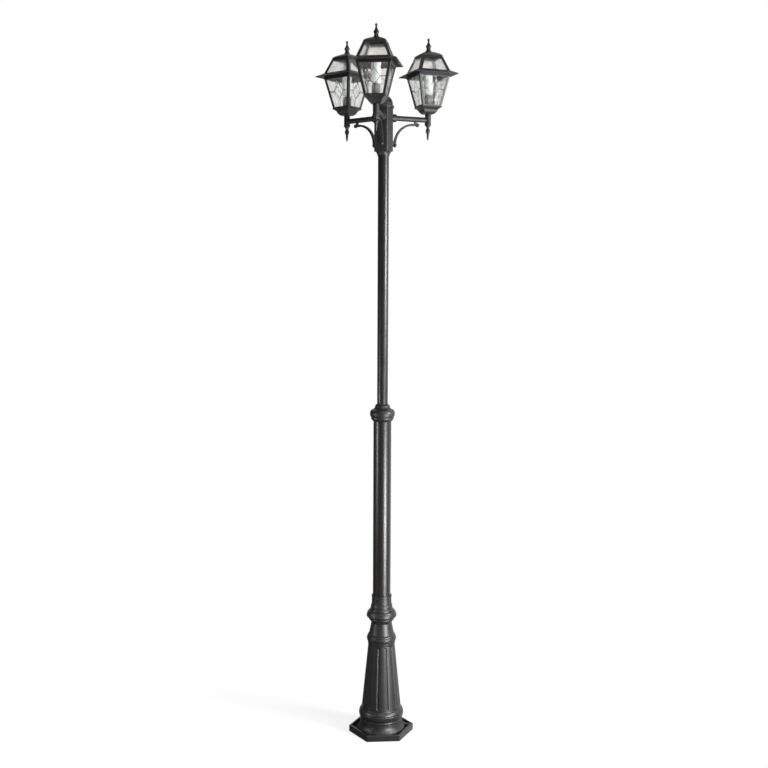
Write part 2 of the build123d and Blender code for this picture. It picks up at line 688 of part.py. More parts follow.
roof_pane = panel(
    z_ledge, z_roof_band,
    lambda z: roof_half(z) - frame_wall - glass_gap - glass_wall,
    lambda z: roof_half(z) - frame_wall - glass_gap,
    lambda z: roof_half(z) - frame_wall - 2 * glass_gap - glass_wall,
)
with BuildPart() as roof_panes:
    add(on_four_sides(roof_pane))

with BuildPart() as roof_cap:
    add(four_sided(
        (0, z_roof_cap), (cap_edge_half, z_roof_cap), (cap_edge_half, z_roof_cap + cap_edge_h),
        (cap_edge_half - cap_step, z_roof_cap + cap_edge_h), (cap_head_half, z_finial, cap_bulge),
        (0, z_finial),
    ))
    add(four_sided(
        (0, z_roof_cap), (cap_edge_half - cap_step - cap_wall, z_roof_cap),
        (cap_head_half, z_finial - cap_wall, cap_bulge), (0, z_finial - cap_wall),
    ), mode=Mode.SUBTRACT)
    with BuildSketch(lantern.offset(z_finial - cap_boss_h)):
        Circle(cap_boss_d / 2)
    extrude(amount=cap_boss_h)
    with BuildSketch(lantern.offset(z_finial)):
        Circle(finial_stud_d / 2 + slip_fit)
    extrude(amount=-cap_boss_h, mode=Mode.SUBTRACT)

z_finial_bell = z_finial + finial_flange_h + finial_waist_h
z_finial_neck = z_finial_bell + finial_bell_h + finial_neck_h
with BuildPart() as top_finial:
    add(revolved(
        (0, z_finial - finial_stud_l), (finial_stud_d / 2, z_finial - finial_stud_l),
        (finial_stud_d / 2, z_finial), (finial_flange_r, z_finial),
        (finial_flange_r, z_finial + finial_flange_h),
        (finial_waist_r, z_finial_bell, -finial_waist_hollow),
        (finial_bell_r, z_finial_bell + finial_bell_h, -finial_bell_hollow),
        (finial_neck_r, z_finial_neck, -finial_neck_hollow),
        (finial_neck_r, z_finial_neck + finial_ball_rise), (0, z_finial_neck + finial_ball_rise),
        side=lantern_front, axis=lantern_axis,
    ))
    with Locations((0, -arm_reach, z_finial_neck + finial_ball_rise)):
        Sphere(finial_ball_r)

# ---------------------------------------------------------------- lampholder and lamp
holder_r, bore_r, lamp_r, base_r = holder_d / 2, holder_bore_d / 2, lamp_d / 2, lamp_base_d / 2
with BuildPart() as lampholder:
    add(revolved(
        (0, z_holder), (holder_r, z_holder), (holder_r, z_holder_top - holder_lip_h),
        (holder_r - holder_lip_step, z_holder_top - holder_lip_h),
        (holder_r - holder_lip_step, z_holder_top), (bore_r, z_holder_top),
        (bore_r, z_holder_top - holder_bore_h), (0, z_holder_top - holder_bore_h),
        side=lantern_front, axis=lantern_axis,
    ))
    with BuildSketch(lantern.offset(z_holder)):
        Circle(nipple_d / 2 + slip_fit)
    extrude(amount=nipple_h - cup_floor + seat_gap, mode=Mode.SUBTRACT)

z_lamp_crown = z_lamp_glass + lamp_glass_h
lamp = revolved(
    (0, z_lamp), (base_r - lamp_base_bevel, z_lamp), (base_r, z_lamp + lamp_base_bevel),
    (base_r, z_holder_top + lamp_clear), (lamp_r, z_lamp_glass, lamp_shoulder_bulge),
    (lamp_r, z_lamp_crown), (0, z_lamp_crown + lamp_crown_h, dome_bulge(lamp_r, lamp_crown_h)),
    side=lantern_front, axis=lantern_axis,
)

# ---------------------------------------------------------------- the three sides
side_pieces = {
    "arm": arm.part,
    "arm_nut": arm_nut.part,
    "brace": brace.part,
    "column": column.part,
    "drop_finial": drop_finial,
    "cup": cup.part,
    "body_frame": body_frame.part,
    "body_panes": body_panes.part,
    "roof_frame": roof_frame.part,
    "roof_panes": roof_panes.part,
    "roof_cap": roof_cap.part,
    "top_finial": top_finial.part,
    "lampholder": lampholder.part,
    "lamp": lamp,
}
for side, turn in arm_turns.items():
    for name, piece in side_pieces.items():
        write(piece.rotate(Axis.Z, turn), f"{name}_{side}")
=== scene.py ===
# %% [markdown]
# # A triple head lamp post
# The object is a cast and tubular garden lamp post: a fluted pedestal on a hexagonal foot, two
# tubes with a collar where they step down, and a hexagonal hub whose three arms carry square
# lanterns. The CAD frame gives every piece its place and size. This lesson gives each piece the
# round edges, the glass and the coating that the real one has, and never moves the frame.

import math

import bmesh
import bpy
from mathutils import Matrix, Vector


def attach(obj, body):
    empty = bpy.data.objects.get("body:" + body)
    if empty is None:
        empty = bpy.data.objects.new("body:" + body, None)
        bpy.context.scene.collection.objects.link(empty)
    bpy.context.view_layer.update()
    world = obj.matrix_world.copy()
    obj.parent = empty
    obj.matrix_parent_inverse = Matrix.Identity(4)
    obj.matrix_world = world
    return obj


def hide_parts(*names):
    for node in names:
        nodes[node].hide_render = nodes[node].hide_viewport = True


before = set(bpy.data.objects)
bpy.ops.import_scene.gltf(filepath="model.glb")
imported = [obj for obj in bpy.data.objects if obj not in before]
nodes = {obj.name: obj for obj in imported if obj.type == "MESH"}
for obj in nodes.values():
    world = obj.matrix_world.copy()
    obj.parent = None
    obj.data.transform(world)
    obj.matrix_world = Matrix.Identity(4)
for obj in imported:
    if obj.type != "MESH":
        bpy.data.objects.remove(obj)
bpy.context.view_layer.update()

# %% [markdown]
# ## The camera
# A photograph fixes its camera by perspective. The post's two tubes, its foot and the tips of its
# lanterns were matched to the picture, which puts the camera 3.6 m away at eye height, a little
# right of the front arm, and tilted down by under six degrees. It has a lens of 50 mm.

# %% Camera
heading = Vector((-0.1511, 0.9885, 0)).normalized()
tilt = 0.09899
look = heading * math.cos(tilt) - Vector((0, 0, math.sin(tilt)))

camera_data = bpy.data.cameras.new("eye_height")
camera_data.lens, camera_data.sensor_width = 50.32, 36.0
camera = bpy.data.objects.new("eye_height", camera_data)
camera.location = (0.5427, -3.5179, 1.5499)
lean = Matrix.Rotation(0.0044, 4, "Z")
camera.rotation_euler = (look.to_track_quat("-Z", "Y").to_matrix().to_4x4() @ lean).to_euler()
bpy.context.scene.collection.objects.link(camera)
bpy.context.scene.camera = camera
print("camera", [round(v, 3) for v in camera.location])

# %% [markdown]
# ## Colours and nodes
# Colours are written as the sRGB hex values that a picture shows, and a shader wants them
# linear, so one function turns them. One more adds a node with its settings and links, so a
# material reads as a short list.


# %% Helpers for materials
MM = 0.001


def linear(hex_colour):
    """An sRGB hex colour such as #303030 as linear red, green, blue and alpha."""
    parts = [int(hex_colour[i : i + 2], 16) / 255 for i in (1, 3, 5)]
    return tuple(p / 12.92 if p <= 0.04045 else ((p + 0.055) / 1.055) ** 2.4 for p in parts) + (1,)


def add_node(tree, kind, values=None, **settings):
    """Adds a node. values maps an input's name or number to a value or to an output to link."""
    node = tree.nodes.new(kind)
    for name, value in settings.items():
        setattr(node, name, value)
    for key, value in (values or {}).items():
        if isinstance(value, bpy.types.NodeSocket):
            tree.links.new(value, node.inputs[key])
        else:
            node.inputs[key].default_value = value
    return node


def new_material(name):
    """An empty material: its tree, its output and the object's own coordinates, in metres."""
    made = bpy.data.materials.new(name)
    made.use_nodes = True
    made.node_tree.nodes.clear()
    tree = made.node_tree
    output = add_node(tree, "ShaderNodeOutputMaterial")
    return made, tree, output, add_node(tree, "ShaderNodeTexCoord").outputs["Object"]


def per_metre(millimetres):
    """The texture scale that gives a pattern features of this size."""
    return 1000 / millimetres


# %% [markdown]
# ## Graphite powder coat
# Castings and tubes have the same baked powder coat: a dark warm grey with a satin skin. The powder
# melts into a faint orange peel, and over a sand casting that skin also rides on the metal's own
# unevenness, which makes a highlight wander. Over a drawn tube it runs nearly straight. The real
# orange peel is about 1 mm and too fine to show here, so it's drawn at 3 mm. Edges hold a thinner
# film, so they are a shade lighter.


# %% Powder coat
PEEL_MM, CLOUD_MM = 3.0, 90.0


def powder_coat(name, colour, thin_film, unevenness_mm, height, gloss_from, gloss_to):
    """A coat whose colour turns to thin_film on edges, and whose roughness wanders in clouds."""
    made, tree, output, place = new_material(name)
    cast, peel, cloud = (
        add_node(
            tree, "ShaderNodeTexNoise",
            {"Vector": place, "Scale": per_metre(size_mm), "Detail": detail},
        ).outputs[0]
        for size_mm, detail in ((unevenness_mm, 2.0), (PEEL_MM, 1.0), (CLOUD_MM, 3.0))
    )
    edge = add_node(tree, "ShaderNodeNewGeometry").outputs["Pointiness"]
    thin = add_node(
        tree, "ShaderNodeMapRange",
        {"Value": edge, "From Min": 0.53, "From Max": 0.62, "To Max": 0.7},
    )
    base = add_node(
        tree, "ShaderNodeMixRGB",
        {"Fac": thin.outputs[0], "Color1": linear(colour), "Color2": linear(thin_film)},
    )
    cloudy = add_node(tree, "ShaderNodeMapRange", {"Value": cloud, "To Min": 0.85, "To Max": 1.15})
    shade = add_node(
        tree, "ShaderNodeMixRGB", {"Fac": 1.0, "Color1": base.outputs[0], "Color2": cloudy.outputs[0]},
        blend_type="MULTIPLY",
    )
    gloss = add_node(
        tree, "ShaderNodeMapRange", {"Value": cloud, "To Min": gloss_from, "To Max": gloss_to}
    )
    wavy = add_node(tree, "ShaderNodeBump", {"Strength": height, "Distance": MM, "Height": cast})
    skin = add_node(
        tree, "ShaderNodeBump",
        {"Strength": 0.12, "Distance": 0.4 * MM, "Height": peel, "Normal": wavy.outputs[0]},
    )
    coat = add_node(
        tree, "ShaderNodeBsdfPrincipled",
        {"Base Color": shade.outputs[0], "Roughness": gloss.outputs[0], "Normal": skin.outputs[0],
         "Specular IOR Level": 0.9},
    )
    tree.links.new(coat.outputs[0], output.inputs[0])
    return made


cast_coat = powder_coat("powder_coated_casting", "#201f1f", "#403e3d", 14.0, 0.35, 0.38, 0.5)
tube_coat = powder_coat("powder_coated_tube", "#1c1917", "#33302d", 60.0, 0.25, 0.3, 0.42)
print("coats", cast_coat.name, tube_coat.name)

# %% [markdown]
# ## Glass
# The body panes are rolled glass: one face is wavy from the rollers, and everything behind it
# smears. Every pane's tint is darkened in streaks along its waves, as painted shade for the light
# and dark lines that the waves refract. The line that is raised on the body panes is a little hazy,
# and its darker tint is painted shade for the dark edge of its relief. The ribbed roof panes are
# hazier still. Glass would shade the lamp inside in full, so rays towards the lights pass as
# through air.


# %% Rolled and ribbed glass
def pane_glass(name, tint, wave_mm, height, roughness):
    """Glass with waves of one size, whose tint is darker in streaks along the waves: painted shade for the
    light and dark lines that the waves refract.
    """
    made, tree, output, place = new_material(name)
    rolled = add_node(
        tree, "ShaderNodeTexNoise",
        {"Vector": place, "Scale": per_metre(wave_mm), "Detail": 1.5, "Distortion": 1.2},
    )
    wavy = add_node(
        tree, "ShaderNodeBump", {"Strength": height, "Distance": 2 * MM, "Height": rolled.outputs[0]}
    )
    # Painted shade: the tint darkens in streaks along the waves, in place of the refracted light and dark
    # lines.
    painted_wave_shade = add_node(
        tree, "ShaderNodeMapRange",
        {"Value": rolled.outputs[0], "From Min": 0.35, "From Max": 0.65, "To Min": 0.86, "To Max": 1.0},
    )
    tinted = add_node(
        tree, "ShaderNodeMixRGB", {"Fac": 1.0, "Color1": linear(tint), "Color2": painted_wave_shade.outputs[0]},
        blend_type="MULTIPLY",
    )
    glass = add_node(
        tree, "ShaderNodeBsdfPrincipled",
        {"Base Color": tinted.outputs[0], "Roughness": roughness, "Normal": wavy.outputs[0],
         "Transmission Weight": 1.0, "IOR": 1.5},
    )
    air = add_node(tree, "ShaderNodeBsdfTransparent", {"Color": linear("#f2f2f0")})
    towards_light = add_node(tree, "ShaderNodeLightPath").outputs["Is Shadow Ray"]
    mixed = add_node(
        tree, "ShaderNodeMixShader", {0: towards_light, 1: glass.outputs[0], 2: air.outputs[0]}
    )
    tree.links.new(mixed.outputs[0], output.inputs[0])
    return made


rolled_glass = pane_glass("rolled_glass", "#f6f6f5", 16.0, 0.42, 0.04)
# The raised line's darker tint is painted shade, in place of the dark edge that its relief refracts.
line_glass_painted_shade = pane_glass("raised_line_glass_painted_shade", "#b2b2b0", 16.0, 0.42, 0.12)
ribbed_glass = pane_glass("ribbed_glass", "#f5f4f1", 30.0, 0.12, 0.16)
print("glass", rolled_glass.name, line_glass_painted_shade.name, ribbed_glass.name)


# %% [markdown]
# ## Moulded plastic, the lamp and the screws
# The lampholder is moulded grey plastic, a little chalky. The lamp has a frosted shell that
# scatters light just under its surface. Grub screws are hardened steel with a black oxide, and
# the nuts and the terminal block stay inside the hub.


# %% Small materials
def plain_finish(name, colour, roughness, grain_mm, height, **settings):
    """A finish with a fine grain. settings names further inputs, with _ for a space."""
    made, tree, output, place = new_material(name)
    grain = add_node(
        tree, "ShaderNodeTexNoise", {"Vector": place, "Scale": per_metre(grain_mm), "Detail": 2.0}
    )
    shade = add_node(
        tree, "ShaderNodeMapRange", {"Value": grain.outputs[0], "To Min": 0.9, "To Max": 1.1}
    )
    tone = add_node(
        tree, "ShaderNodeMixRGB", {"Fac": 1.0, "Color1": linear(colour), "Color2": shade.outputs[0]},
        blend_type="MULTIPLY",
    )
    bumpy = add_node(
        tree, "ShaderNodeBump", {"Strength": height, "Distance": 0.3 * MM, "Height": grain.outputs[0]}
    )
    body = add_node(
        tree, "ShaderNodeBsdfPrincipled",
        {"Base Color": tone.outputs[0], "Roughness": roughness, "Normal": bumpy.outputs[0]},
    )
    for socket, value in settings.items():
        body.inputs[socket.replace("_", " ")].default_value = value
    tree.links.new(body.outputs[0], output.inputs[0])
    return made


holder_plastic = plain_finish("moulded_grey_plastic", "#6e6e6e", 0.5, 2.0, 0.2)
frosted_lamp = plain_finish("frosted_lamp_shell", "#dde3df", 0.35, 1.5, 0.1)
black_oxide = plain_finish("black_oxide_steel", "#26262a", 0.45, 1.0, 0.2, Metallic=0.8)
bright_steel = plain_finish("bright_steel", "#a8a8a6", 0.35, 1.0, 0.2, Metallic=1.0)
block_plastic = plain_finish("moulded_white_plastic", "#dedcd4", 0.5, 2.0, 0.1)
print("small finishes", holder_plastic.name, frosted_lamp.name, black_oxide.name)

# %% [markdown]
# ## Outlines
# Nearly every piece of the post is turned or square in plan, so it starts as half an outline of
# radii and heights in millimetres. An outline runs from point to point, and a third number is an
# arc's bulge, outward on the way up. A casting has no sharp edge, so each corner is eased.


# %% Helpers for outlines
def bowed(start, end, bulge):
    """Points after start on an arc to end, one for each 9 degrees or so."""
    chord = end - start
    outward = Vector((chord.y, -chord.x)).normalized()
    radius = chord.length**2 / (8 * abs(bulge)) + abs(bulge) / 2
    centre = (start + end) / 2 + outward * (bulge - math.copysign(radius, bulge))
    half = math.asin(min(1.0, chord.length / 2 / radius))
    count = max(2, round(2 * half / 0.16))
    spoke = start - centre
    sweep = math.copysign(2 * half / count, bulge)
    return [centre + Matrix.Rotation(sweep * k, 2) @ spoke for k in range(1, count + 1)]


def outline(start, *steps):
    """An outline's points. A step is (radius, height), or (radius, height, bulge) for an arc."""
    points = [Vector(start)]
    for across, up, *bulge in steps:
        end = Vector((across, up))
        points += bowed(points[-1], end, bulge[0]) if bulge else [end]
    return points


SOFT_BEND = 0.4


def eased(points, ease):
    """The same outline with its corners rounded by up to ease, in mm, but not on the axis."""
    result = []
    for before, here, after in zip(points[-1:] + points[:-1], points, points[1:] + points[:1]):
        into, out = here - before, after - here
        reach = min(ease, into.length * 0.45, out.length * 0.45)
        if here.x < 0.01 or reach < 0.05 or into.angle(out) < SOFT_BEND:
            result.append(here)
            continue
        start, end = here - into.normalized() * reach, here + out.normalized() * reach
        for share in (0, 0.3, 0.7, 1):
            result.append((start.lerp(here, share)).lerp(here.lerp(end, share), share))
    return result


# %% [markdown]
# ## Turning
# Spin sweeps an outline about the vertical axis. With 96 or 64 steps it makes a round piece, with
# six a hexagonal one and with four a square one, whose corners are mitred as a pattern maker would
# do it. The outline then lies across the middle of a flat.


# %% Helpers for turned shapes
ROUND, SMALL_ROUND = 96, 64


def turned(points, sides=ROUND, first=0.0):
    """A solid in mm about the vertical axis. first is the first corner's angle in degrees."""
    shape = bmesh.new()
    to_corner = 1 / math.cos(math.pi / sides) if sides < 12 else 1.0
    corners = [shape.verts.new((p.x * to_corner, 0, p.y)) for p in points]
    rim = [
        shape.edges.new((a, b))
        for a, b in zip(corners, corners[1:] + corners[:1])
        if max(a.co.x, b.co.x) > 0.001
    ]
    bmesh.ops.rotate(shape, verts=corners, matrix=Matrix.Rotation(math.radians(first), 3, "Z"))
    bmesh.ops.spin(
        shape, geom=corners + rim, axis=(0, 0, 1), cent=(0, 0, 0), dvec=(0, 0, 0),
        angle=2 * math.pi, steps=sides, use_merge=True, use_duplicate=False,
    )
    bmesh.ops.remove_doubles(shape, verts=shape.verts, dist=0.001)
    bmesh.ops.recalc_face_normals(shape, faces=shape.faces)
    return shape


def moved(shape, to=(0, 0, 0), turn=0.0, tilt=0.0):
    """The shape laid over by tilt about X, turned about Z, in degrees, and moved, in mm."""
    for angle, axis in ((tilt, "X"), (turn, "Z")):
        bmesh.ops.rotate(shape, verts=shape.verts, matrix=Matrix.Rotation(math.radians(angle), 3, axis))
    bmesh.ops.translate(shape, verts=shape.verts, vec=to)
    return shape


def bevelled(shape, edges, width, segments=2):
    """Rounds some of a shape's edges by width, in mm, and returns the new faces."""
    return bmesh.ops.bevel(
        shape, geom=edges, offset=width, offset_type="OFFSET", segments=segments, profile=0.5,
        affect="EDGES", clamp_overlap=True, material=-1,
    )["faces"]


def of_kind(geometry, kind):
    """Those elements that are vertices, edges or faces: kind is BMVert, BMEdge or BMFace."""
    return [element for element in geometry if isinstance(element, kind)]


def joined(*shapes):
    """One shape of several closed ones."""
    whole = bmesh.new()
    for shape in shapes:
        part = bpy.data.meshes.new("part")
        shape.to_mesh(part)
        whole.from_mesh(part)
        bpy.data.meshes.remove(part)
        shape.free()
    return whole


# %% [markdown]
# ## Pieces
# A shape in mm becomes an object in metres that sits at the origin with its place in its mesh, as
# the CAD nodes do. A live Bevel rounds what is still sharp, and Weighted Normal keeps the
# shading of flats flat. Each piece rides on a CAD body and stands for the node that it replaces.


# %% Helpers for pieces
SIDES = {"front": 0, "left": -120, "right": 120}


def add_piece(shape, name, finish, body, *stands_for, slot="graphite_coat", edge=0.0):
    """Makes a piece of a shape. edge is the width of its live Bevel, in mm."""
    bmesh.ops.scale(shape, verts=shape.verts, vec=(MM, MM, MM))
    mesh = bpy.data.meshes.new(name)
    shape.to_mesh(mesh)
    shape.free()
    mesh.polygons.foreach_set("use_smooth", [True] * len(mesh.polygons))
    mesh.set_sharp_from_angle(angle=math.pi if edge else math.radians(50))
    for layer in finish if isinstance(finish, tuple) else (finish,):
        mesh.materials.append(layer)
    piece = bpy.data.objects.new(name, mesh)
    bpy.context.scene.collection.objects.link(piece)
    if edge:
        bevel = piece.modifiers.new("eased_edges", "BEVEL")
        bevel.width, bevel.segments, bevel.angle_limit = edge * MM, 3, math.radians(35)
    flats = piece.modifiers.new("flat_flats", "WEIGHTED_NORMAL")
    flats.keep_sharp = True
    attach(piece, body)
    if stands_for:
        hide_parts(*stands_for)
    return piece


def add_three(shape, name, finish, body, node, **settings):
    """The front arm's piece and its copies on the left and right arms."""
    for side, turn in SIDES.items():
        copy = moved(shape.copy(), turn=turn)
        on_body, stands_for = body.format(side=side), f"{node}_{side}"
        add_piece(copy, f"{name}_{side}", finish, on_body, stands_for, **settings)
    shape.free()


def cut(piece, *cutters):
    """Takes solids in mm out of a piece, with the Boolean modifier applied."""
    tool_mesh = bpy.data.meshes.new("cutter")
    cutter = joined(*cutters)
    bmesh.ops.scale(cutter, verts=cutter.verts, vec=(MM, MM, MM))
    cutter.to_mesh(tool_mesh)
    cutter.free()
    tool = bpy.data.objects.new("cutter", tool_mesh)
    bpy.context.scene.collection.objects.link(tool)
    boolean = piece.modifiers.new("cut", "BOOLEAN")
    boolean.object, boolean.solver = tool, "EXACT"
    boolean.use_self = True
    piece.modifiers.move(len(piece.modifiers) - 1, 0)
    for other in list(piece.modifiers)[1:]:
        other.show_viewport = False
    scene_state = bpy.context.evaluated_depsgraph_get()
    result = bpy.data.meshes.new_from_object(piece.evaluated_get(scene_state))
    piece.modifiers.remove(boolean)
    for other in piece.modifiers:
        other.show_viewport = True
    old, piece.data = piece.data, result
    bpy.data.meshes.remove(old)
    bpy.data.objects.remove(tool)
    result.name = piece.name
    print(piece.name, "cut, faces:", len(result.polygons))


# %% [markdown]
# ## The foot and pedestal
# One casting: a hexagonal tray with a raised rim, and out of it the pedestal with its ring, its
# fluted taper, its beads, a waist and the crown and neck that hold the tube, with fine rings and
# grooves between them. It is spun as a round shape in 288 steps. Then the tray's rows are pushed
# out to a hexagon, and the taper's rows are pushed in to make twelve round-ended flutes.

# %% Pedestal outline
FOOT_TURN = 13.1
THIRDS = (0, 120, 240)
FLUTES, SPOKES = 12, 288
FLUTE_TURN = 360 / FLUTES
# Of a flute's 24 spokes, 8 on each side of its middle lie in it and 4 on the land beside it.
IN_FLUTE, ON_LAND = 8, 4
RIM_R, RIM_CORNER, TRAY_FROM = 95.7, 4, 86
BOLT_CIRCLE_R, BOLT_HOLE_R, SCREW_HOLE_R = 91, 4.5, 3.1
TAPER_LOW, TAPER_HIGH = Vector((67, 87)), Vector((45, 307))
FLUTE_HALF, FLUTE_DEEP = 4.0, 2.2
FLUTE_LOW, FLUTE_HIGH = 99.0, 301.0
FLUTE_REACH = 4.4
ROUND_END = [0, 1.0, 2.0, 2.8, 3.4, 3.8, 4.1, FLUTE_REACH]


def on_taper(height):
    """The taper's point at a height."""
    return TAPER_LOW.lerp(TAPER_HIGH, (height - TAPER_LOW.y) / (TAPER_HIGH.y - TAPER_LOW.y))


taper_rows = [FLUTE_LOW - d for d in reversed(ROUND_END)]
row_step = (FLUTE_HIGH - FLUTE_LOW) / 5
taper_rows += [FLUTE_LOW + row_step * k for k in range(1, 5)]
taper_rows += [FLUTE_HIGH + d for d in ROUND_END]
casting_line = eased(outline(
    (RIM_R, 0), (RIM_R, 20), (RIM_R - 2, 22), (RIM_R - 7, 22), (RIM_R - 7, 6), (81, 6), (81, 17),
    (71.5, 38, -2.4), (71.5, 42), (70.2, 42), (70.2, 44.5), (71.6, 44.5), (71.6, 51.5, 0.8), (70.6, 51.5),
    (70.6, 55), (75.2, 62.5, 1.3), (75.9, 71, 0.4), (74.2, 72), (74.2, 74), (75, 74.8), (67, 87, 1.5),
    *[on_taper(z) for z in taper_rows],
    (45, 307), (43.8, 307), (43.8, 310), (46.4, 310), (46.6, 318), (45.2, 319), (49, 324.5, 1),
    (48, 325.2), (48, 326.8), (50, 327.6), (49, 334, 0.4), (47.7, 334.8), (47.3, 336.4), (47.6, 337.2),
    (43, 343.5, 1.3), (35, 383, -0.5), (38.2, 389.5), (38.2, 391.5), (41.6, 393), (42.6, 397.5, 0.8),
    (41.8, 399), (42.4, 401), (47.6, 402), (51, 408.5, 1), (45.6, 423.5, 0.8), (40, 423.5),
    (38.8, 431.5, 0.6), (36.6, 432.5), (36.2, 436.5), (36.9, 437.5), (35.2, 446, 0.6), (34, 447),
    (33.2, 471, -0.2), (34.1, 471), (34.1, 478), (30.1, 478), (30.1, 388), (26, 388), (26, 380), (37, 345),
    (38.8, 307), (60.8, 87), (65.3, 52), (65.3, 38), (74.8, 6, 2.4), (74.8, 0),
), 0.8)
print("pedestal outline, points:", len(casting_line))


# %% Pedestal casting
def about_foot(vert):
    """A vertex's distance from the axis, and its angle in degrees from the foot's first corner."""
    angle = math.degrees(math.atan2(vert.co.y, vert.co.x))
    return math.hypot(*vert.co.xy), angle - FOOT_TURN


def to_hexagon(vert):
    """Pushes a row of the tray out to the hexagon it is the inner circle of, with eased corners."""
    radius, angle = about_foot(vert)
    from_flat = math.radians(30) * math.sin(math.radians(3 * (angle % 60 - 30)))
    round_r = max(1.0, radius - RIM_R + RIM_CORNER)
    centre = (radius - round_r) / math.cos(math.radians(30))
    to_corner = math.radians(30) - abs(from_flat)
    if radius * math.tan(abs(from_flat)) > centre / 2:
        aside = centre * math.sin(to_corner)
        reach = centre * math.cos(to_corner) + math.sqrt(round_r**2 - aside**2)
    else:
        reach = radius / math.cos(from_flat)
    turn = math.radians(angle // 60 * 60 + 30 + FOOT_TURN) + from_flat
    vert.co.x, vert.co.y = reach * math.cos(turn), reach * math.sin(turn)


def flute_depth(off_line):
    """How deep a flute is at a distance from its middle line. A ball cuts it and its edge is soft."""
    soft_from, soft_to = FLUTE_HALF - 0.3, FLUTE_HALF + 0.38
    cutter = FLUTE_HALF**2 / (2 * FLUTE_DEEP) + FLUTE_DEEP / 2
    deep = math.sqrt(cutter**2 - min(off_line, soft_from) ** 2) - (cutter - FLUTE_DEEP)
    if off_line > soft_from:
        deep *= max(0.0, (soft_to - off_line) / (soft_to - soft_from)) ** 2
    return deep


def to_flutes(vert):
    """Moves a vertex round so that most spokes lie in the flutes, and sinks it there."""
    radius, angle = about_foot(vert)
    sector = math.floor(angle / FLUTE_TURN + 1e-6)
    spoke = (angle / FLUTE_TURN - sector - 0.5) * (SPOKES / FLUTES)
    along = max(0.0, FLUTE_LOW - vert.co.z, vert.co.z - FLUTE_HIGH)
    half = math.sqrt(max(FLUTE_REACH**2 - along**2, 0.8))
    edge = math.degrees(half / radius)
    if abs(spoke) <= IN_FLUTE:
        aside = math.copysign(edge * (abs(spoke) / IN_FLUTE) ** 0.7, spoke)
    else:
        land = (abs(spoke) - IN_FLUTE) / ON_LAND * (FLUTE_TURN / 2 - edge)
        aside = math.copysign(edge + land, spoke)
    if radius > on_taper(vert.co.z).x - 1:
        radius -= flute_depth(math.hypot(math.radians(aside) * radius, along))
    turn = math.radians(sector * FLUTE_TURN + FLUTE_TURN / 2 + aside + FOOT_TURN)
    vert.co.x, vert.co.y = radius * math.cos(turn), radius * math.sin(turn)


casting = turned(casting_line, SPOKES, FOOT_TURN)
for vert in casting.verts:
    if math.hypot(*vert.co.xy) > TRAY_FROM:
        to_hexagon(vert)
    elif TAPER_LOW.y + 1 < vert.co.z < TAPER_HIGH.y - 1:
        to_flutes(vert)
pedestal_piece = add_piece(casting, "pedestal_casting", cast_coat, "post", "base_casting")


def rod(radius, near, far, z, turn):
    """A level rod that points away from the post's axis."""
    shape = turned(outline((0, near), (radius, near), (radius, far), (0, far)), 24)
    return moved(shape, to=(0, 0, z), turn=turn + 90, tilt=90)


bolt_line = outline((0, -5), (BOLT_HOLE_R, -5), (BOLT_HOLE_R, 12), (0, 12))
bolt_holes = []
for turn in (60, 180, 300):
    angle = math.radians(FOOT_TURN + turn)
    place = (BOLT_CIRCLE_R * math.cos(angle), BOLT_CIRCLE_R * math.sin(angle), 0)
    bolt_holes.append(moved(turned(bolt_line, 24), to=place))
grub_holes = [rod(SCREW_HOLE_R, 29, 40, 464, FOOT_TURN + turn) for turn in THIRDS]
cut(pedestal_piece, *bolt_holes, *grub_holes)


def wall(corners, thickness, ease):
    """A flat web from its corners in the front plane, as distances from the axis and heights."""
    shape = bmesh.new()
    face = shape.faces.new([shape.verts.new((thickness / 2, -across, up)) for across, up in corners])
    extruded = bmesh.ops.extrude_face_region(shape, geom=[face], use_keep_orig=True)["geom"]
    far_side = of_kind(extruded, bmesh.types.BMVert)
    bmesh.ops.translate(shape, verts=far_side, vec=(-thickness, 0, 0))
    bmesh.ops.recalc_face_normals(shape, faces=shape.faces)
    bevelled(shape, shape.edges[:], ease)
    return shape


gusset_corners = ((66, 3), (102, 3), (102, 20), (81, 23), (71.5, 36), (66, 36))
gussets = [moved(wall(gusset_corners, 6, 1), turn=FOOT_TURN + 90 + turn) for turn in THIRDS]
add_piece(joined(*gussets), "foot_gussets", cast_coat, "post")

# %% [markdown]
# ## Tubes and collar
# The tubes are drawn, so their only features are their straightness and their sheen. The collar is
# a casting: a cup that takes the lower tube, a rounded ring, and a bell down to the upper tube.

# %% Tubes and collar
lower_line = outline((30, 388), (30, 1108), (27.5, 1108), (27.5, 388))
add_piece(turned(eased(lower_line, 0.4)), "lower_post_tube", tube_coat, "post", "lower_tube")
upper_line = outline((18, 1034), (18, 1999.8), (15.5, 1999.8), (15.5, 1034))
add_piece(turned(eased(upper_line, 0.4)), "upper_post_tube", tube_coat, "post", "upper_tube")

collar_line = outline(
    (31.4, 1072), (38, 1080), (38, 1086), (38.7, 1086), (38.7, 1109, 3.1), (31, 1113),
    (24.6, 1121, -0.9), (24.6, 1124), (19.4, 1130), (18.1, 1130), (18.1, 1034), (14, 1034),
    (14, 1030), (27.4, 1030), (27.4, 1108), (30.1, 1108), (30.1, 1072),
)
collar = add_piece(turned(eased(collar_line, 0.7)), "step_collar", cast_coat, "post", "tube_collar")
cut(
    collar,
    *[rod(SCREW_HOLE_R, 29.5, 42, 1084, FOOT_TURN + turn) for turn in THIRDS],
    *[rod(SCREW_HOLE_R, 17.5, 27, 1122.5, FOOT_TURN + turn) for turn in THIRDS],
)

# %% [markdown]
# ## The hub
# A hexagonal casting, hollow above the tube for the wires, with a round neck below and a domed
# cap on a flange. Its six upright edges have a wide round, which catches the light as a line.

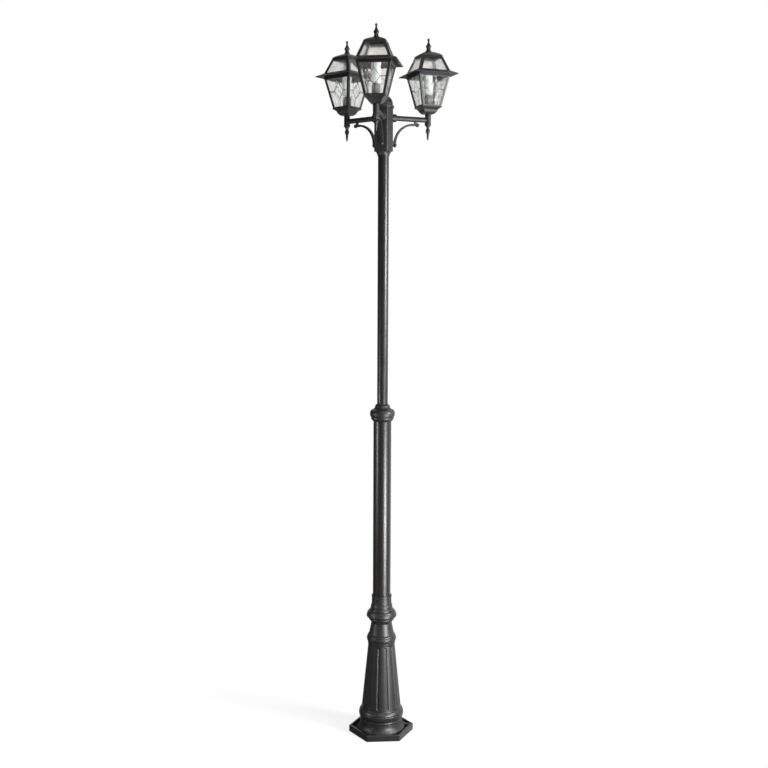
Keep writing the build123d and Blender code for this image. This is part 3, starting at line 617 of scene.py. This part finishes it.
# %% Hub
hub_line = outline(
    (18.08, 1958), (27.4, 1958), (27.4, 2097), (24, 2097), (24, 2006), (13, 2006), (13, 2000),
    (18.08, 2000),
)
hub_body = turned(hub_line, 6)
upright = [
    e for e in hub_body.edges
    if abs(e.verts[0].co.z - e.verts[1].co.z) > 100 and math.hypot(*e.verts[0].co.xy) > 30
]
bevelled(hub_body, upright, 2.4, segments=5)
neck_line = outline((18.08, 1944), (19.8, 1944), (27, 1958.5, -1.5), (18.08, 1958.5))
hub_shape = joined(hub_body, turned(eased(neck_line, 0.6)))
hub = add_piece(hub_shape, "hexagon_hub", cast_coat, "head", "hub_sleeve", edge=0.6)
cut(hub, *[rod(SCREW_HOLE_R, 17.5, 35, 1970, turn) for turn in (90, 210, 330)])

cap_line = outline(
    (21.4, 2092), (23.9, 2092), (23.9, 2097), (34, 2097), (34, 2104), (30, 2104), (30, 2109),
    (0, 2139, 8.787), (0, 2136.5), (27.5, 2109, -8.054), (27.5, 2104), (21.4, 2097),
)
add_piece(turned(eased(cap_line, 1.0)), "hub_dome", cast_coat, "head", "hub_cap")

# %% [markdown]
# ## Arms and braces
# Each arm is a round bar with a boss against the hub's flat. Below it a flat bar bends through a
# quarter circle, ends in a ball at both ends, and touches the arm and the hub by two small lugs.
# The bend is a rectangle of vertices spun about the bend's centre, so it is a true arc.

# %% Arms
arm_line = outline(
    (0, 17.5), (6, 17.5), (6, 27.4), (13, 27.4), (13, 42.4), (8.5, 43.4), (8.5, 149), (0, 149),
)
arm = moved(turned(eased(arm_line, 1.6), SMALL_ROUND), to=(0, 0, 2067), tilt=90)
add_three(arm, "arm_bar", cast_coat, "head", "arm")


# %% Braces
def block(low, high, ease):
    """A box between two corners, with eased edges."""
    shape = bmesh.new()
    bmesh.ops.create_cube(shape, size=1.0)
    low, high = Vector(low), Vector(high)
    bmesh.ops.scale(shape, verts=shape.verts, vec=high - low)
    bmesh.ops.translate(shape, verts=shape.verts, vec=(low + high) / 2)
    bevelled(shape, shape.edges[:], ease)
    return shape


def ball(radius, place):
    shape = bmesh.new()
    bmesh.ops.create_uvsphere(shape, u_segments=24, v_segments=16, radius=radius)
    return moved(shape, to=place)


BAR_WIDE, BAR_THICK, STRAIGHT = 10, 6.8, 14.5
BEND_CENTRE = (0, -104.5, 1984)
OUTER_END, INNER_END = (0, -119, 2049), (0, -39.5, 1979.5)

bar = bmesh.new()
ring = bmesh.ops.create_circle(bar, segments=4, radius=math.sqrt(0.5), cap_ends=False)["verts"]
bmesh.ops.rotate(bar, verts=ring, matrix=Matrix.Rotation(math.pi / 4, 3, "Z"))
bmesh.ops.scale(bar, verts=ring, vec=(BAR_WIDE, BAR_THICK, 1))
bmesh.ops.rotate(bar, verts=ring, matrix=Matrix.Rotation(math.pi / 2, 3, "X"))
bmesh.ops.translate(bar, verts=ring, vec=OUTER_END)
bmesh.ops.contextual_create(bar, geom=ring)
extruded = bmesh.ops.extrude_edge_only(bar, edges=bar.edges[:])["geom"]
last = of_kind(extruded, bmesh.types.BMVert)
bmesh.ops.translate(bar, verts=last, vec=(0, STRAIGHT, 0))
last += [e for e in of_kind(extruded, bmesh.types.BMEdge) if e.verts[0] in last and e.verts[1] in last]
spun = bmesh.ops.spin(
    bar, geom=last, cent=BEND_CENTRE, axis=(1, 0, 0), dvec=(0, 0, 0),
    angle=math.radians(-90), steps=28,
)
bmesh.ops.contextual_create(bar, geom=of_kind(spun["geom_last"], bmesh.types.BMEdge))
bmesh.ops.recalc_face_normals(bar, faces=bar.faces)
brace = joined(
    bar, ball(6.5, OUTER_END), ball(6.5, INNER_END),
    block((-3.5, -36.8, 1984), (3.5, -27, 1994), 0.8),
    block((-3.5, -116, 2047), (3.5, -108, 2060), 0.8),
)
print("brace, faces:", len(brace.faces))
add_three(brace, "quarter_bend_brace", cast_coat, "head", "brace", edge=1.4)

# %% [markdown]
# ## Columns and drops
# The arm ends in a short column that stands under the lantern, and a drop finial hangs from it.

# %% Columns and drops
AT_LANTERN = (0, -157, 0)


def on_lantern_axis(points, ease):
    """A round piece that stands on the front lantern's axis."""
    return moved(turned(eased(points, ease), SMALL_ROUND), to=AT_LANTERN)


column_line = outline(
    (0, 2049), (9.6, 2049), (10, 2057, 1.2), (10, 2086), (5, 2086), (5, 2107), (0, 2107),
)
add_three(on_lantern_axis(column_line, 0.5), "lantern_column", cast_coat, "head", "column")
drop_line = outline(
    (0, 2002), (2.4, 2004, 0.57), (4.3, 2024, 0.5), (4.6, 2040, 2.9), (8.6, 2049, -1), (0, 2049),
)
add_three(on_lantern_axis(drop_line, 0.5), "drop_point", cast_coat, "head", "drop_finial")

# %% [markdown]
# ## Lantern castings
# The cup, the body frame, the roof and its cap are square castings. The cup and the cap, which is
# slightly domed, are spun in four steps. The frames have windows, so they are cleaned copies of
# the CAD nodes: their triangles are merged back to flat faces, and their edges are rounded. A
# face round a window is cut up again where it is concave, or Bevel would fill the window.


# %% Cup, frames and cap
def square(points):
    """A square piece on the front lantern's axis, its sides along and across the arm."""
    return moved(turned(points, 4, 45), to=AT_LANTERN)


def clean_copy(node):
    """A CAD node's triangles merged back into flat faces that are convex, in mm."""
    shape = bmesh.new()
    shape.from_mesh(nodes[node].data)
    bmesh.ops.scale(shape, verts=shape.verts, vec=(1000, 1000, 1000))
    bmesh.ops.remove_doubles(shape, verts=shape.verts, dist=0.01)
    bmesh.ops.dissolve_limit(shape, angle_limit=0.01, verts=shape.verts, edges=shape.edges)
    bmesh.ops.connect_verts_concave(shape, faces=shape.faces)
    return shape


cup_line = outline(
    (0, 2086), (14, 2086), (25, 2100, 1.8), (31.5, 2106), (34.5, 2106), (34.5, 2110), (31, 2110),
    (31, 2109.5), (28, 2106), (19.75, 2097), (0, 2097),
)
add_three(square(cup_line), "lantern_cup", cast_coat, "head", "cup", edge=0.8)
add_three(clean_copy("body_frame_front"), "lantern_frame", cast_coat, "head", "body_frame", edge=0.7)
add_three(clean_copy("roof_frame_front"), "lantern_roof", cast_coat, "roof_{side}", "roof_frame", edge=0.7)
top_line = outline(
    (31, 2272.2), (35.5, 2272.2), (35.5, 2274.2), (33.5, 2274.6), (22, 2281.9, 0.9),
    (10, 2287.2, 0.5), (0, 2287.8), (0, 2282.2), (9, 2282.2),
)
add_three(square(top_line), "lantern_top", cast_coat, "roof_{side}", "roof_cap", edge=0.5)
finial_line = outline(
    (0, 2285.2), (10, 2285.2), (10, 2288.9), (6.8, 2295.2, -0.6), (9.6, 2304.2, -1),
    (3, 2318.2, -0.9), (3, 2324), (0, 2324),
)
finial = joined(turned(eased(finial_line, 0.7), SMALL_ROUND), ball(4.1, (0, 0, 2325.9)))
add_three(moved(finial, to=AT_LANTERN), "spire", cast_coat, "roof_{side}", "top_finial")

# %% [markdown]
# ## Panes
# A body pane has a raised line pattern, a rhombus with a line from each of its points to the
# pane's edge. The pattern starts as edges of a flat sheet. Bevel gives each line its width, and
# its middle is then raised. A roof pane has fine ribs, rows of a sheet that are raised in turn.


# %% Panes
GLASS_THICK = 3
LINE_HIGH, RIB_HIGH = 1.0, 0.4
RIB_ROWS = 44


def slanted(shape, low, high):
    """Lays a sheet drawn in x and a height share onto the lantern's slanted side, as a pane.

    low and high are (distance from the lantern's axis, height). Returns the way outward."""
    along = Vector((0, low[0] - high[0], high[1] - low[1]))
    for vert in shape.verts:
        vert.co = Vector((vert.co.x, -low[0], low[1])) + along * vert.co.y
    faces = shape.faces[:]
    extruded = bmesh.ops.extrude_face_region(shape, geom=faces, use_keep_orig=True)["geom"]
    inner = of_kind(extruded, bmesh.types.BMVert)
    bmesh.ops.translate(shape, verts=inner, vec=(0, GLASS_THICK, 0))
    bmesh.ops.recalc_face_normals(shape, faces=shape.faces)
    return Vector((0, -along.z, along.y)).normalized()


def four_panes(shape):
    """The pane on all four sides of the lantern."""
    return joined(*[moved(shape.copy(), turn=90 * k) for k in range(4)])


LOW, HIGH = (31.4, 2112), (51.1, 2203.5)
LOW_HALF, HIGH_HALF = 28.2, 47.9
# The sheet's height in mm while its lines get their width.
DRAWN_HIGH = 84
sheet = bmesh.new()


def at(x, share):
    """A new vertex of the sheet, in mm across and as a share of its height."""
    return sheet.verts.new((x, share, 0))


def half_at(share):
    """Half the body pane's width at a share of its height."""
    return LOW_HALF + (HIGH_HALF - LOW_HALF) * share


corner = [at(-LOW_HALF, 0), at(LOW_HALF, 0), at(HIGH_HALF, 1), at(-HIGH_HALF, 1)]
middle = [at(0, 0), at(half_at(0.56), 0.56), at(0, 1), at(-half_at(0.56), 0.56)]
point = [at(0, 0.29), at(19, 0.56), at(0, 0.84), at(-19, 0.56)]
sheet.faces.new(point)
for k in range(4):
    n = (k + 1) % 4
    sheet.faces.new((corner[k], middle[k], point[k], point[k - 1], middle[k - 1]))
lines = [sheet.edges.get((point[k], point[(k + 1) % 4])) for k in range(4)]
lines += [sheet.edges.get((point[k], middle[k])) for k in range(4)]
ends = [(e.verts[0].co.copy(), e.verts[1].co.copy()) for e in lines]
bmesh.ops.scale(sheet, verts=sheet.verts, vec=(1, DRAWN_HIGH, 1))
for face in bevelled(sheet, lines, 1.2):
    face.material_index = 1
bmesh.ops.scale(sheet, verts=sheet.verts, vec=(1, 1 / DRAWN_HIGH, 1))


def on_line(place, start, end):
    """True where a sheet's point lies on the line's middle, within 0.1 mm."""
    start, end, place = (Vector((p.x, p.y * DRAWN_HIGH)) for p in (start, end, place))
    way = end - start
    share = max(0, min(1, (place - start).dot(way) / way.length_squared))
    return (start + way * share - place).length < 0.1


raised = [v for v in sheet.verts if any(on_line(v.co, *pair) for pair in ends)]
outward = slanted(sheet, LOW, HIGH)
bmesh.ops.translate(sheet, verts=raised, vec=outward * LINE_HIGH)
print("body pane, raised points:", len(raised))
body_panes = moved(four_panes(sheet), to=AT_LANTERN)
both_glasses = (rolled_glass, line_glass_painted_shade)
add_three(body_panes, "rolled_panes", both_glasses, "head", "body_panes", slot="pane_glass")

sheet = bmesh.new()
sheet.faces.new([at(-48.9, 0), at(48.9, 0), at(31.0, 1), at(-31.0, 1)])
sides = [e for e in sheet.edges if abs(e.verts[0].co.y - e.verts[1].co.y) > 0.5]
bmesh.ops.subdivide_edges(sheet, edges=sides, cuts=RIB_ROWS - 1, use_grid_fill=True)
ribs = [v for v in sheet.verts if round(v.co.y * RIB_ROWS) % 2]
outward = slanted(sheet, (52.1, 2221.2), (34.2, 2266.2))
bmesh.ops.translate(sheet, verts=ribs, vec=outward * RIB_HIGH)
roof_panes = moved(four_panes(sheet), to=AT_LANTERN)
add_three(roof_panes, "ribbed_panes", ribbed_glass, "roof_{side}", "roof_panes", slot="pane_glass")

# %% [markdown]
# ## Lampholders and lamps
# Inside each lantern a moulded holder stands on the cup's floor, and a frosted tube-shaped lamp
# is screwed into it.

# %% Lamps
holder_line = outline(
    (0, 2097), (13.5, 2097), (13.5, 2141), (12.5, 2141), (12.5, 2147), (7.5, 2147), (7.5, 2117),
    (0, 2117),
)
holder = on_lantern_axis(holder_line, 0.6)
add_three(holder, "lamp_holder", holder_plastic, "head", "lampholder", slot="holder_plastic")
lamp_line = outline(
    (0, 2117.2), (3.9, 2117.2), (6.9, 2120.2), (6.9, 2148), (14.5, 2155, 1.5), (14.5, 2214),
    (0, 2223, 2.4),
)
lamp = on_lantern_axis(lamp_line, 0.8)
add_three(lamp, "frosted_lamp", frosted_lamp, "lamp_{side}", "lamp", slot="opal_lamp")

# %% [markdown]
# ## CAD pieces that stay
# The grub screws, the nuts and the terminal block keep their CAD shape and get their finishes.

# %% Finishes for CAD nodes
kept = {"set_screws": black_oxide, "arm_nut": bright_steel, "terminal_block": block_plastic}
for name, node in nodes.items():
    for word, finish in kept.items():
        if word in name:
            node.data.materials.clear()
            node.data.materials.append(finish)
print("kept CAD nodes:", [n for n in nodes if any(w in n for w in kept)])

# %% [markdown]
# ## Studio
# The photograph has a white ground with no horizon. A product studio gets that from a bright wall
# behind the object and stays dim behind the camera, and this is what a satin coat needs too: the
# white wall draws its rims, and the dim side lets its faces stay dark. So the world is white to
# the camera and through glass, and to a reflection it fades from white behind the post to dim in
# front of it. The floor keeps the post's shadow and fades to plain white away from it. A
# reflection passes through the floor and sees the world.


# %% World
def kinds_of_ray(tree):
    """Two outputs: 1 for a reflection's ray, and 1 for the camera's, straight or through glass."""
    paths = add_node(tree, "ShaderNodeLightPath").outputs
    seen = add_node(
        tree, "ShaderNodeMath", {0: paths["Is Camera Ray"], 1: paths["Is Transmission Ray"]},
        operation="MAXIMUM",
    )
    return paths["Is Glossy Ray"], seen.outputs[0]


world = bpy.data.worlds.new("white_studio")
bpy.context.scene.world = world
world.use_nodes = True
tree = world.node_tree
tree.nodes.clear()
reflection, seen = kinds_of_ray(tree)
way = add_node(tree, "ShaderNodeTexCoord").outputs["Generated"]
wall = Matrix.Rotation(math.radians(-25), 3, "Z") @ heading
behind = add_node(tree, "ShaderNodeVectorMath", {0: way, 1: tuple(wall)}, operation="DOT_PRODUCT")
fade = add_node(
    tree, "ShaderNodeMapRange",
    {"Value": behind.outputs["Value"], "From Min": 0.35, "From Max": 0.8, "To Min": 0.08, "To Max": 1.0},
    interpolation_type="SMOOTHSTEP",
)
dim, mirrored, white = (
    add_node(
        tree, "ShaderNodeBackground", {"Color": linear("#ffffff"), "Strength": strength}
    ).outputs[0]
    for strength in (0.22, fade.outputs[0], 1.0)
)
lit = add_node(tree, "ShaderNodeMixShader", {0: reflection, 1: dim, 2: mirrored})
ground = add_node(tree, "ShaderNodeMixShader", {0: seen, 1: lit.outputs[0], 2: white})
add_node(tree, "ShaderNodeOutputWorld", {0: ground.outputs[0]})
print("world", world.name)

# %% Floor
floor_shape = bmesh.new()
bmesh.ops.create_circle(floor_shape, cap_ends=True, segments=128, radius=40)
floor_mesh = bpy.data.meshes.new("studio_floor")
floor_shape.to_mesh(floor_mesh)
floor_shape.free()
floor = bpy.data.objects.new("studio_floor", floor_mesh)
bpy.context.scene.collection.objects.link(floor)

floor_paint, tree, output, place = new_material("white_floor_paint")
reflection, seen = kinds_of_ray(tree)
away = add_node(tree, "ShaderNodeVectorMath", {0: place}, operation="LENGTH")
far = add_node(
    tree, "ShaderNodeMapRange",
    {"Value": away.outputs["Value"], "From Min": 0.35, "From Max": 0.9},
)
matt = add_node(tree, "ShaderNodeBsdfDiffuse", {"Color": linear("#acacac")})
lift = add_node(tree, "ShaderNodeEmission", {"Strength": 0.76})
lifted = add_node(tree, "ShaderNodeAddShader", {0: matt.outputs[0], 1: lift.outputs[0]})
plain_white = add_node(tree, "ShaderNodeEmission", {"Strength": 1.0})
to_eye = add_node(
    tree, "ShaderNodeMixShader",
    {0: far.outputs[0], 1: lifted.outputs[0], 2: plain_white.outputs[0]},
)
shown = add_node(tree, "ShaderNodeMixShader", {0: seen, 1: matt.outputs[0], 2: to_eye.outputs[0]})
open_air = add_node(tree, "ShaderNodeBsdfTransparent")
mixed = add_node(
    tree, "ShaderNodeMixShader", {0: reflection, 1: shown.outputs[0], 2: open_air.outputs[0]},
)
tree.links.new(mixed.outputs[0], output.inputs[0])
floor_mesh.materials.append(floor_paint)
print("floor", floor.name)

# %% [markdown]
# ## Lights
# Two soft boxes on the right, one above the other, draw the streak on the right of both tubes: it
# is brightest where each box is mirrored, near 1.65 m and 0.8 m up. A small box at the left draws
# the second streak, and a large one overhead lights the roofs.


# %% Lights
def soft_box(name, from_camera, distance, height, size, watts, aim_height):
    """An area light at an angle to the right of the camera, seen from the post."""
    to_camera = Matrix.Rotation(math.radians(from_camera), 3, "Z") @ -heading
    data = bpy.data.lights.new(name, "AREA")
    data.shape, data.size, data.size_y, data.energy = "RECTANGLE", size[0], size[1], watts
    light = bpy.data.objects.new(name, data)
    light.location = to_camera * distance + Vector((0, 0, height))
    aim = Vector((0, 0, aim_height)) - light.location
    light.rotation_euler = aim.to_track_quat("-Z", "Y").to_euler()
    bpy.context.scene.collection.objects.link(light)
    print(name, "at", [round(v, 2) for v in light.location])


soft_box("right_upper_box", 63, 2.2, 1.7, (0.45, 0.42), 43, 1.6)
soft_box("right_lower_box", 42, 1.9, 0.36, (0.55, 0.3), 34, 0.7)
soft_box("left_box", -67, 1.9, 0.78, (0.3, 0.3), 7, 0.95)
soft_box("top_box", 15, 2.6, 4.0, (2.0, 2.0), 26, 1.6)
bpy.context.scene.view_settings.view_transform = "Standard"
